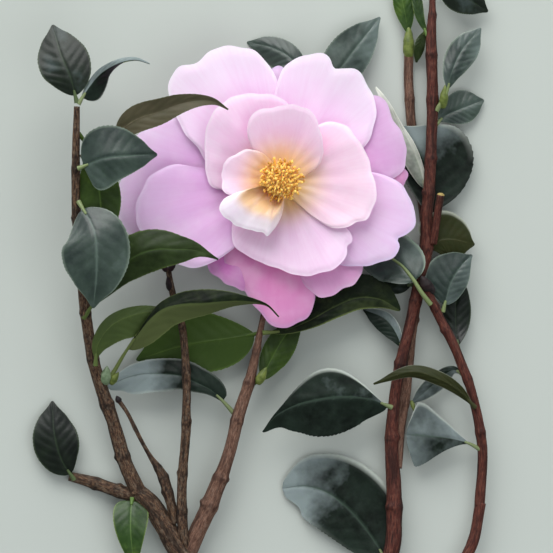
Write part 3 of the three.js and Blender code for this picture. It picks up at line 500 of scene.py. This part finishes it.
def add_tube(build, path, radii, sides, **values):
    """A closed round tube along a path."""
    turns = np.arange(sides) / sides * FULL_TURN
    rings = [at + radius * (np.outer(np.cos(turns), side) + np.outer(np.sin(turns), over))
             for radius, (at, side, over) in zip(radii, frames(path))]
    points = np.concatenate(rings + [path[:1, :3], path[-1:, :3]])
    build.add(points, tube_faces(len(path), sides), **values)


def add_column(build, heights, steps, sides):
    """A round column on the bloom's axis through (height, radius) pairs."""
    path, _ = smooth_path([(*BLOOM_AT[:2], height, radius) for height, radius in heights], steps)
    add_tube(build, path, path[:, 3], sides)


def settle(piece, slot, *nodes):
    """Makes a piece part of the branch, in place of the plain solids named."""
    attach(piece, "root")
    if nodes:
        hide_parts(*nodes)


# ---------- materials ----------

class Nodes:
    """A node tree built by short calls. An input may be a socket, a number or a hex colour."""

    def __init__(self, owner):
        owner.use_nodes = True
        self.owner = owner
        self.nodes = owner.node_tree.nodes

    def feed(self, made, inputs):
        for key, value in inputs.items():
            if isinstance(value, bpy.types.NodeSocket):
                self.owner.node_tree.links.new(value, made.inputs[key])
            else:
                made.inputs[key].default_value = (*rgb(value), 1) if isinstance(value, str) else value
        return made

    def add(self, kind, inputs, **settings):
        made = self.nodes.new("ShaderNode" + kind)
        for key, value in settings.items():
            setattr(made, key, value)
        return self.feed(made, inputs)

    def place(self, kind):
        return self.add("TexCoord", {}).outputs[kind]

    def read(self, name, output="Fac"):
        """A value stored with the mesh."""
        return self.add("Attribute", {}, attribute_name=name).outputs[output]

    def noise(self, place, scale, detail, roughness, stretch=None):
        if stretch:
            place = self.add("Mapping", {"Vector": place, "Scale": stretch}).outputs["Vector"]
        inputs = {"Vector": place, "Scale": scale, "Detail": detail, "Roughness": roughness}
        return self.add("TexNoise", inputs).outputs["Fac"]

    def span(self, value, low, high, out_low=0.0, out_high=1.0):
        """The value's stretch from low to high, as one from out_low to out_high."""
        inputs = {"Value": value, "From Min": low, "From Max": high, "To Min": out_low, "To Max": out_high}
        return self.add("MapRange", inputs).outputs["Result"]

    def blend(self, share, first, second, kind="MIX"):
        """The first colour where the share is 0, the second where it is 1. Sockets 6, 7 and 2 are colours."""
        made = self.add("Mix", {0: share, 6: first, 7: second}, data_type="RGBA", blend_type=kind)
        return made.outputs[2]

    def ramp(self, value, *stops):
        """Colours at rising places."""
        made = self.add("ValToRGB", {"Fac": value})
        elements = made.color_ramp.elements
        for place, _ in stops[2:]:
            elements.new(place)
        for element, (place, text) in zip(sorted(elements, key=lambda e: e.position), stops):
            element.position = place
            element.color = (*rgb(text), 1)
        return made.outputs["Color"]

    def finish(self, height, depth, strength, inputs):
        """Gives a material its relief and its shader's inputs."""
        relief = self.add("Bump", {"Height": height, "Distance": depth, "Strength": strength})
        self.feed(self.nodes["Principled BSDF"], {"Normal": relief.outputs["Normal"], **inputs})
        return self.owner


def leaf_material(name, top, top_dark, vein, under, under_vein, rim, film, gloss, shine):
    """A waxy leaf: mottled upper side with paler veins, duller underside with raised veins, a pale painted
    reflection of the sky, and a pale margin that is partly a painted highlight.
    """
    made = Nodes(bpy.data.materials.new("leaf_" + name))
    place = made.place("Object")
    veins = made.span(made.read("vein"), 0.2, 1.0, 0, 0.6)
    below = made.read("under")
    mottle = made.noise(place, 220, 5, 0.65)
    patches = made.noise(place, 60, 4, 0.6)
    upper = made.blend(made.span(patches, 0.38, 0.62), top_dark, top)
    upper = made.blend(made.span(mottle, 0.45, 0.8, 0, 0.25), upper, vein)
    # Painted sky reflection: where the patches and the stored strength reach high enough, the upper side
    # takes the pale reflection colour.
    reflection_share = made.add("Math", {0: patches, 1: 1.6, 2: made.read("film")}, operation="MULTIPLY_ADD").outputs[0]
    upper = made.blend(made.span(reflection_share, 0.95, 1.75), upper, film)
    upper = made.blend(veins, upper, vein)
    lower = made.blend(made.span(mottle, 0.3, 0.7, 0, 0.5), under, top)
    lower = made.blend(veins, lower, under_vein)
    return made.finish(mottle, 0.00025, 0.6, {
        # The margin colour over the margin mask: the leaf's paler edge, partly a painted highlight.
        "Base Color": made.blend(made.read("edge"), made.blend(below, upper, lower), rim),
        "Roughness": made.span(below, 0, 1, gloss, 0.52),
        "Specular IOR Level": shine,
        "Coat Weight": 0.35 * shine,
        "Coat Roughness": 0.25,
        "Subsurface Weight": 0.06,
        "Subsurface Radius": (0.0006, 0.0012, 0.0003),
    })


def petal_material():
    """Each petal's tint, partly painted light and shade, with fine lines along it and paler clouds."""
    made = Nodes(bpy.data.materials.new("petal"))
    place = made.read("petal_place", "Vector")
    lines = made.noise(place, 1.0, 4, 0.6, (1.0, 14.0, 1.0))
    clouds = made.noise(place, 2.2, 3, 0.5)
    tint = made.read("tint", "Color")
    colour = made.blend(made.span(lines, 0.35, 0.75, 0, 0.16), tint, "#efb4dc", "MULTIPLY")
    return made.finish(lines, 0.0001, 0.35, {
        "Base Color": made.blend(made.span(clouds, 0.45, 0.8, 0, 0.22), colour, "#fbe9f8"),
        "Roughness": 0.55,
        "Subsurface Weight": 0.35,
        "Subsurface Radius": (0.003, 0.0018, 0.0026),
        "Subsurface Scale": 1.0,
        "Sheen Weight": 0.12,
    })


def bark_material(name, dark, mid, light, grey, rough):
    """Fine lengthwise cracks, long streaks and grey flakes over a mottled bark."""
    made = Nodes(bpy.data.materials.new("bark_" + name))
    place = made.read("limb_place", "Vector")
    cracks = made.noise(place, 1.0, 6, 0.75, (2.2, 2.2, 0.2 + 0.4 * rough))
    streaks = made.noise(place, 1.0, 3, 0.5, (0.55, 0.55, 0.06))
    flakes = made.noise(place, 1.0, 5, 0.6, (0.7, 0.7, 0.5))
    specks = made.noise(place, 2.6, 3, 0.6)
    colour = made.ramp(cracks, (0.32 + 0.04 * rough, dark), (0.5, mid), (0.66, light))
    colour = made.blend(made.span(flakes, 0.5, 0.7, 0, 0.25 + 0.4 * rough), colour, grey)
    colour = made.blend(made.span(streaks, 0.5, 0.36, 0, 0.7), colour, dark)
    colour = made.blend(made.span(specks, 0.6, 0.68, 0, 0.85 * rough), colour, dark)
    colour = made.blend(made.span(made.read("hollow"), 0.1, 1.0, 0, 0.85), colour, dark)
    inputs = {"Base Color": colour, "Roughness": 0.75, "Specular IOR Level": 0.25}
    return made.finish(cracks, 0.0005, 0.9 * rough, inputs)


def plain_material(name, first, second, roughness, scale, glow):
    """Two mottled colours with a fine grain."""
    made = Nodes(bpy.data.materials.new(name))
    spots = made.noise(made.place("Object"), scale, 4, 0.6)
    return made.finish(spots, 0.0001, 0.5, {
        "Base Color": made.blend(made.span(spots, 0.35, 0.65), first, second),
        "Roughness": roughness,
        "Subsurface Weight": glow,
        "Subsurface Radius": (0.003, 0.0018, 0.0006),
        "Subsurface Scale": 1.0,
    })


MATERIALS = {
    "petal": petal_material(),
    **{"leaf_" + tone: leaf_material(tone, *look) for tone, look in LEAF_COLOURS.items()},
    **{"bark_" + kind: bark_material(kind, *look) for kind, look in BARK_COLOURS.items()},
    **{name: plain_material(name, *look) for name, look in PLAIN_COLOURS.items()},
}


# ---------- stems ----------

LIMB_STEP = 0.8
LIMB_SIDES = 28
SCAR_TURN = 2.4
CRACK_DEPTH = 0.6


def make_limb(name, points):
    """A limb whose rings swell at its nodes and whose surface is ridged and cracked along its length."""
    _, length = smooth_path(points, 4)
    steps = max(8, int(length / LIMB_STEP))
    path, length = smooth_path(points, steps)
    seed = sum(ord(c) for c in name) % 97
    rough = 0.5 if name in LIMB_BARK else 1.0
    nodes_at = LIMB_NODES.get(name, [])
    grid = np.zeros((steps + 1, LIMB_SIDES, 3))
    place = np.zeros((steps + 1, LIMB_SIDES, 3))
    hollow = np.zeros((steps + 1, LIMB_SIDES))
    for i, (middle, side, over) in enumerate(frames(path)):
        run = length * i / steps
        radius = path[i, 3]
        swell = 0.0
        for at in nodes_at:
            swell += 0.10 * math.exp(-((run - at) / 1.5) ** 2) + 0.04 * math.exp(-((run - at) / 5) ** 2)
        band = max([math.exp(-((run - at) / 1.7) ** 2) for at in nodes_at], default=0.0)
        for k in range(LIMB_SIDES):
            turn = k / LIMB_SIDES * FULL_TURN
            c, s = math.cos(turn), math.sin(turn)
            x, y = radius * c, radius * s
            lumps = 0.07 * wobble(c * 1.1 + seed, s * 1.1, run * 0.11)
            ridges = 0.055 * rough * wobble(x * 1.3 + seed, y * 1.3, run * 0.16)
            scar = 0.0
            for n, at in enumerate(nodes_at):
                facing = max(0.0, math.cos(turn - n * SCAR_TURN - seed))
                scar += facing ** 3 * 0.22 * math.exp(-((run - at - 0.6) / 0.9) ** 2)
            deep = max(0.0, wobble(x * 2.0 - seed, y * 2.0, run * 0.30) - 0.18)
            cut = CRACK_DEPTH * rough * deep * min(1.0, radius / 2)
            r = radius * (1 + swell + lumps + ridges + scar) - cut
            grid[i, k] = middle + r * (c * side + s * over)
            place[i, k] = (x, y, run)
            ragged = band * (0.5 + 1.6 * wobble(c * 2.2 + seed, s * 2.2, run * 0.9))
            hollow[i, k] = min(1.0, deep * 3.2 * rough + max(0.0, ragged) * 0.9)
    build = Build()
    build.add(np.concatenate([grid.reshape(-1, 3), path[:1, :3], path[-1:, :3]]),
              tube_faces(steps + 1, LIMB_SIDES),
              limb_place=np.concatenate([place.reshape(-1, 3), [[0, 0, 0], [0, 0, length]]]),
              hollow=np.concatenate([hollow.ravel(), [0, 0]]))
    settle(build.make("bark_" + name, "bark_" + LIMB_BARK.get(name, "brown")), "bark", name)


# ---------- leaves ----------

LEAF_ALONG = 100
LEAF_ACROSS = 16
LEAF_SKIN = 0.34
BLADE_BOW = 8
SIDE_VEINS = 8
TEETH = 24
RIB_STEPS = 400
STALK_SIDES = 10


def blade_width(u, widest, fullness):
    bulge = math.log(0.5) / math.log(widest)
    body = np.abs(np.sin(math.pi * np.clip(u, 0, 1) ** bulge)) ** fullness
    return body * (1 - 0.30 * smoothstep(0.80, 0.97, u))


def by_half(values, u, v):
    """A value told at stalk and tip of each half, spread over the blade."""
    values = np.repeat(values, 4 // np.size(values))
    left, right = (np.interp(u, [0, 1], ends)[:, None] for ends in (values[:2], values[2:]))
    return np.where(v[None, :] > 0, left, right)


def vein_rows(u, across):
    """Counts the side veins up along the blade, each slanting towards the tip."""
    return (u - 0.16 * across - 0.05 * across ** 2) * SIDE_VEINS


def vein_field(u, across, phase):
    """1 on the midrib and less on the side veins, 0 between them."""
    midrib = np.exp(-(across / 0.05) ** 2)
    gap = np.abs((vein_rows(u, across) + phase) % 1.0 - 0.5) * 2
    lateral = np.exp(-((1 - gap) / 0.13) ** 2) * (1 - smoothstep(0.62, 0.95, across))
    return np.clip(midrib + 0.32 * lateral, 0, 1)


def quilt_field(u, across):
    """The swelling of the blade between its side veins."""
    return np.sin(np.pi * (vein_rows(u, across) % 1.0)) * np.sin(np.pi * np.clip(across, 0, 1)) ** 0.8


def along_path(path, steps):
    return np.column_stack([np.interp(steps, np.arange(len(path)), path[:, k]) for k in range(3)])


def make_leaf(name, leaf):
    """A blade along its rib, and a stalk that runs on under it as a ridge."""
    rng = random.Random("leaf_" + name)
    path, length = smooth_path(leaf.rib, RIB_STEPS)
    start = leaf.stalk / length
    line = np.linspace(0, 1, LEAF_ALONG + 1)
    where = (start + (1 - start) * line) * RIB_STEPS
    rib = along_path(path, where)
    along = tangents(rib)
    side = unit(np.cross(UP, along))
    face = np.cross(along, side)
    v = np.linspace(1, -1, 2 * LEAF_ACROSS + 1)
    v = np.sign(v) * (0.5 - 0.5 * np.cos(np.pi * np.abs(v)))
    u, across, is_left = line[:, None], np.abs(v)[None, :], v[None, :] > 0
    half = np.where(is_left, *np.broadcast_to(leaf.halves, 2))
    tilt = np.radians(by_half(leaf.tilt, line, v) + BLADE_BOW * (across - 0.5))
    shapes = zip(np.broadcast_to(leaf.widest, 2), np.broadcast_to(leaf.fullness, 2))
    width = np.where(is_left, *(blade_width(u, *shape) for shape in shapes))
    tooth = 0.028 * ((u * TEETH) % 1.0 - 0.4) * smoothstep(0.90, 1.0, across) * smoothstep(0.04, 0.14, u)
    reach = half * width * (across + tooth) + 0.35 * across
    lean = 0.12 * np.sin(np.pi * u)
    veins = vein_field(u, across, rng.uniform(0, 1))
    wave = np.where(is_left, np.sin(u * 9.5 + rng.uniform(0, 6.28)), np.sin(u * 8.3 + rng.uniform(0, 6.28)))
    lift = 0.55 * wave * across ** 2 * width + 0.20 * quilt_field(u, across) * width
    lift -= 0.10 * veins * (1 - across) + 0.45 * np.exp(-(across * half * width / 0.9) ** 2)
    grid = (rib[:, None, :] + (along[:, None, :] * (lean * reach)[:, :, None])
            + side[:, None, :] * (np.sign(v) * reach * np.cos(tilt))[:, :, None]
            + face[:, None, :] * (reach * np.sin(tilt) + lift)[:, :, None])
    normal = -grid_normals(grid)
    normal *= np.sign(np.sum(normal * face[:, None, :], axis=2, keepdims=True))
    skin = (LEAF_SKIN * (1 - 0.6 * across ** 4) * np.minimum(1, width * 4 + 0.3))[:, :, None] / 2
    ridge = (0.55 * np.exp(-(across * half * width / 0.55) ** 2) * (1 - 0.7 * u))[:, :, None]
    # How strong the painted sky reflection is along each half.
    film = by_half(leaf.film, line, v)
    # Pale margin: by default a thin one, the leaf's own paler edge; where a leaf gives its own strengths per
    # half, a broader pale band that is mostly a painted highlight on edges that catch the light.
    edge = 0.4 * smoothstep(0.93, 0.99, across) + 0 * u
    if leaf.margin:
        edge = by_half(leaf.margin, line, v) * smoothstep(0.84, 0.99, across)
    up = name in UNDERSIDE_UP
    sides = np.full(grid.shape[:2], float(up)), np.full(grid.shape[:2], float(not up))
    build = Build()
    add_sheet(build, grid, normal, skin + ridge * up, skin + ridge * (not up),
              under=sides, vein=(veins, veins), edge=(edge, edge), film=(film, film))
    rows = max(3, int(where[0] // 8) + 4)
    stalk = along_path(path, np.linspace(0, min(RIB_STEPS, where[0] + leaf.ridge), rows))
    stalk[:, 2] -= np.linspace(0, 0.35, rows)
    add_tube(build, stalk, np.linspace(1.05, 0.45, rows), STALK_SIDES, under=1, vein=0.9, edge=0, film=0)
    settle(build.make("blade_" + name, "leaf_" + leaf.tone, 60), "leaf", "leaf_" + name)


# ---------- bloom ----------

PETAL_ALONG = 40
PETAL_ACROSS = 96
PETAL_SKIN = 0.32
CENTRE_RING = 2.5
PETALS_AT_MOST = 20


def petal_colour(petal, radius, s, side):
    """Cream and gold at the foot, the petal's tint over its body, partly painted light and shade, and a paler
    rim.
    """
    body, pale = PETAL_TINTS[petal.tint]
    layers = (
        (pale, smoothstep(0.55, 1.0, s) * (1 - side) * 0.5 + smoothstep(0.955, 1.0, s) * 0.5),
        (PETAL_CREAM, (1 - smoothstep(5, 24, radius)) ** 1.2),
        (PETAL_POCKET, (1 - smoothstep(petal.cream - 0.2, petal.cream + 0.02, s)) * 0.85),
        (PETAL_GOLD, (1 - smoothstep(8, 19, radius)) * petal.gold),
    )
    colour = rgb(body)
    for text, share in layers:
        colour = colour * (1 - share[..., None]) + rgb(text) * share[..., None]
    return np.concatenate([colour, np.ones(colour.shape[:2] + (1,))], axis=2)


def make_petal(name, node, petal, index):
    """A sheet from the bloom's middle out to its rim, with a shallow bowl, waves and a turned-down edge."""
    rng = random.Random(index * 7 + 3)
    turns = [math.radians(deg) for deg, _ in petal.rim]
    rim = [(reach * math.cos(a), reach * math.sin(a), 0) for a, (_, reach) in zip(turns, petal.rim)]
    edge, _ = smooth_path(rim, PETAL_ACROSS)
    t = np.linspace(0, 1, PETAL_ACROSS + 1)[None, :]
    ruffle = 1 + 0.006 * np.sin(t[0] * 47 + rng.uniform(0, 6)) + 0.004 * np.sin(t[0] * 83 + rng.uniform(0, 6))
    edge = edge * ruffle[:, None]
    s = (1 - (1 - np.linspace(0, 1, PETAL_ALONG + 1)) ** 1.25)[:, None]
    foot = unit(edge[:, :2]) * CENTRE_RING
    flat = foot[None] + (edge[None, :, :2] - foot[None]) * s[..., None]
    radius = np.hypot(flat[..., 0], flat[..., 1])
    out = radius / max(reach for _, reach in petal.rim)
    lift = out ** 1.5 * 0.75 + 0.25 * out ** 0.7
    if petal.fold:
        lift = smoothstep(0, petal.fold, s) - 0.12 * smoothstep(petal.fold, 1, s)
    lift = petal.rise * lift * (1 - petal.tuck * np.abs(2 * t - 1) ** 4)
    angle = np.arctan2(flat[..., 1], flat[..., 0]) - (turns[0] + turns[-1]) / 2
    angle = (angle + math.pi) % FULL_TURN - math.pi
    waves = np.sin(angle * 4.6 + rng.uniform(0, 6.28)) + 0.6 * np.sin(angle * 10.2 + rng.uniform(0, 6.28))
    pleats = np.sin(angle * 21 + rng.uniform(0, 6.28)) * np.sin(np.pi * np.clip(out, 0, 1)) * 0.10
    z = petal.foot + lift + 0.7 * waves * out ** 2.5 + pleats - 0.5 * smoothstep(0.9, 1.0, s) ** 2
    grid = np.dstack([flat, z]) + BLOOM_AXIS
    normal = grid_normals(grid)
    normal *= np.where(normal[..., 2:3] < 0, -1, 1)
    skin = PETAL_SKIN * (1 - 0.5 * s ** 4)[..., None] / 2
    side = np.abs(2 * t - 1) ** 3
    colour = petal_colour(petal, radius, s + 0 * t, side)
    place = np.dstack([out * 3 + index * 5.0, angle * 2, index + 0 * radius])
    build = Build()
    add_sheet(build, grid, normal, skin, skin, tint=(colour, colour), petal_place=(place, place))
    settle(build.make(name, "petal", 60), "petal", node)


STAMEN_COUNT = 190
STAMEN_SPREAD = 8.7
STAMEN_FOOT = 24.4
STAMEN_TOP = 38.2
GOLDEN_TURN = 2.39996
THREAD_STEPS = 7
THREAD_SIDES = 6
STAMEN_COLUMN = [(23.6, 4.6), (28, 6.2), (32.5, 6.6), (34.6, 5.2), (35.4, 2.0)]
ANTHER_ROWS = 7
ANTHER_SIDES = 10


def add_anther(build, at, axis, length, girth):
    """A two-lobed anther: an oval sheath with a groove down its length."""
    axis = unit(axis)
    side = unit(np.cross(axis, np.array([0.3, 0.9, 0.2])))
    over = np.cross(axis, side)
    rings = []
    for r in range(ANTHER_ROWS):
        p = (r + 0.5) / ANTHER_ROWS
        bulge = math.sin(math.pi * p) ** 0.6
        for k in range(ANTHER_SIDES):
            turn = FULL_TURN * k / ANTHER_SIDES
            groove = 1 - 0.32 * abs(math.cos(turn)) ** 4
            rings.append(at + axis * length * (p - 0.5) + girth * bulge * groove
                         * (math.cos(turn) * side * 0.75 + math.sin(turn) * over))
    ends = [at - axis * length / 2, at + axis * length / 2]
    build.add(rings + ends, tube_faces(ANTHER_ROWS, ANTHER_SIDES))


def make_stamens():
    """A ring of threads round a column, each thread with an anther on its tip."""
    rng = random.Random(11)
    threads, fresh, old = Build(), Build(), Build()
    for n in range(STAMEN_COUNT):
        spread = math.sqrt((n + 0.5) / STAMEN_COUNT)
        turn = n * GOLDEN_TURN + rng.uniform(-0.25, 0.25)
        radius = STAMEN_SPREAD * spread * rng.uniform(0.93, 1.05)
        height = STAMEN_TOP - 3.2 * spread ** 2 + rng.uniform(-1.8, 0.8)
        out = np.array([math.cos(turn), math.sin(turn), 0])
        tip = BLOOM_AXIS + out * radius + UP * height
        foot = BLOOM_AXIS + out * (2.0 + 2.4 * spread) + UP * STAMEN_FOOT
        bend = BLOOM_AXIS + out * (2.2 + radius * 0.55) + UP * (STAMEN_FOOT + (height - STAMEN_FOOT) * 0.55)
        path, _ = smooth_path([foot, bend, tip], THREAD_STEPS)
        add_tube(threads, path, np.linspace(0.42, 0.3, THREAD_STEPS + 1), THREAD_SIDES)
        lean = UP + out * rng.uniform(-0.9, 1.3)
        lean = lean + np.array([rng.uniform(-0.9, 0.9), rng.uniform(-0.9, 0.9), 0])
        target = old if rng.random() < 0.18 + 0.3 * (spread > 0.8) else fresh
        add_anther(target, tip + UP * 0.3, lean, rng.uniform(1.6, 2.2), rng.uniform(0.5, 0.66))
    add_column(threads, STAMEN_COLUMN, 16, 24)
    for name, look, build in (("stamen_threads", "filament", threads), ("anthers", "anther", fresh),
                              ("anthers_ripe", "anther_old", old)):
        settle(build.make(name, look), "stamen", "stamens")


SCALES = 9
SCALE_STEPS = 12
SCALE_CUP = 0.25
CALYX_CORE = [(12.4, 2.2), (14.4, 3.0), (16.4, 3.8)]


def add_scale(build, at, turn, lean, length, half):
    """One overlapping bud scale: a short cupped sheet that stands at a lean from the bud's axis."""
    s = np.linspace(0, 1, SCALE_STEPS + 1)[:, None]
    t = np.linspace(-1, 1, SCALE_STEPS + 1)[None, :]
    width = half * np.sin(np.pi * np.clip(0.12 + 0.88 * s, 0, 1) ** 0.8) ** 0.6 + 0.05
    x = s * length * math.sin(lean) + 0.1 * length - SCALE_CUP * width * t ** 2
    y = width * t
    c, k = math.cos(turn), math.sin(turn)
    grid = np.stack([x * c - y * k, x * k + y * c, s * length * math.cos(lean) + 0 * t], axis=2) + at
    add_sheet(build, grid, grid_normals(grid), 0.12, 0.12)


def make_calyx():
    build = Build()
    for n in range(SCALES):
        add_scale(build, BLOOM_AT - 0.4 * UP, n * 2.4, 1.12 - 0.05 * n, 5.0 + 0.45 * n, 3.4)
    add_column(build, CALYX_CORE, 8, 18)
    settle(build.make("calyx_scales", "sepal"), "sepal", "calyx")


# ---------- buds ----------

BUD_ROWS = 22
BUD_SIDES = 18
BUD_TURNS = 3.0
BUD_LOOKS = {"green": "bud", "pale": "bud_pale", "dark": "bud_dark", "cut": "cut_wood"}


def add_bud(build, at, towards, length, half):
    """A pointed bud of overlapping scales."""
    at = np.array(at)
    axis = unit(np.array(towards, float))
    side = unit(np.cross(axis, UP if abs(axis[2]) < 0.9 else np.array([1.0, 0, 0])))
    over = np.cross(axis, side)
    rings = []
    for r in range(BUD_ROWS + 1):
        p = r / BUD_ROWS
        body = math.sin(math.pi * min(1, p * 0.93 + 0.07) ** 0.72) ** 0.8
        for k in range(BUD_SIDES):
            turn = FULL_TURN * k / BUD_SIDES
            step = 1 + 0.10 * (0.5 - (p * BUD_TURNS + turn / FULL_TURN) % 1.0)
            rings.append(at + axis * length * p
                         + half * body * step * (math.cos(turn) * side + math.sin(turn) * over))
    build.add(rings + [at, at + axis * length * 1.02], tube_faces(BUD_ROWS + 1, BUD_SIDES))


def make_buds():
    for kind, look in BUD_LOOKS.items():
        build = Build()
        for bud in BUDS[kind]:
            add_bud(build, *bud)
        settle(build.make("buds_" + kind, look), "bark" if kind in ("dark", "cut") else "sepal")


# ---------- stage ----------

def make_floor():
    mesh = bpy.data.meshes.new("floor")
    mesh.from_pydata([(-3, -3, 0), (3, -3, 0), (3, 3, 0), (-3, 3, 0)], [], [(0, 1, 2, 3)])
    made = Nodes(bpy.data.materials.new("floor"))
    made.feed(made.nodes["Principled BSDF"], {"Base Color": FLOOR_COLOUR, "Roughness": 0.9})
    mesh.materials.append(made.owner)
    add_object("floor", mesh)


def add_light(name, at, size, power, colour):
    """A round soft light that faces the middle of the view."""
    lamp = bpy.data.lights.new(name, "AREA")
    lamp.shape = "DISK"
    lamp.size = size
    lamp.energy = power
    lamp.color = colour
    light = add_object(name, lamp)
    light.location = at
    target = Vector((VIEW_MIDDLE[0] * MM, VIEW_MIDDLE[1] * MM, 0.02))
    light.rotation_euler = (target - Vector(at)).to_track_quat("-Z", "Y").to_euler()
    return light


def make_lights():
    """Soft daylight from the branch's tips, a weak fill from its foot, and a sky that is brighter above."""
    add_light("sky_key", (-0.3, 1.35, 0.95), 1.6, 26, (1.0, 0.99, 0.97))
    fill = add_light("sky_fill", (0.5, -0.5, 1.4), 1.4, 9, (0.94, 0.97, 1.0))
    fill.visible_glossy = False
    sky = Nodes(bpy.data.worlds.new("sky"))
    apart = sky.add("SeparateXYZ", {0: sky.place("Generated")})
    strength = sky.span(apart.outputs["Y"], -0.1, 0.85, 0.22, 1.5)
    sky.feed(sky.nodes["Background"], {"Color": (0.88, 0.94, 1.0, 1), "Strength": strength})
    bpy.context.scene.world = sky.owner
    bpy.context.scene.view_settings.view_transform = "Standard"


def make_camera():
    camera = bpy.data.cameras.new("camera")
    camera.sensor_width = SENSOR
    camera.lens = SENSOR * CAMERA_DISTANCE / VIEW_SIDE
    camera.clip_start = 0.1
    camera.clip_end = 20
    holder = add_object("camera", camera)
    holder.location = (VIEW_MIDDLE[0] * MM, VIEW_MIDDLE[1] * MM, (VIEW_PLANE + CAMERA_DISTANCE) * MM)
    bpy.context.scene.camera = holder


make_camera()
make_lights()
make_floor()
for name, points in LIMBS.items():
    make_limb(name, points)
for name, leaf in LEAVES.items():
    make_leaf(name, leaf)
for whorl, (name, petals) in enumerate(WHORLS.items()):
    for n, petal in enumerate(petals):
        make_petal("%s_%02d" % (name[:-1], n + 1), name, petal, whorl * PETALS_AT_MOST + n)
make_stamens()
make_calyx()
make_buds()
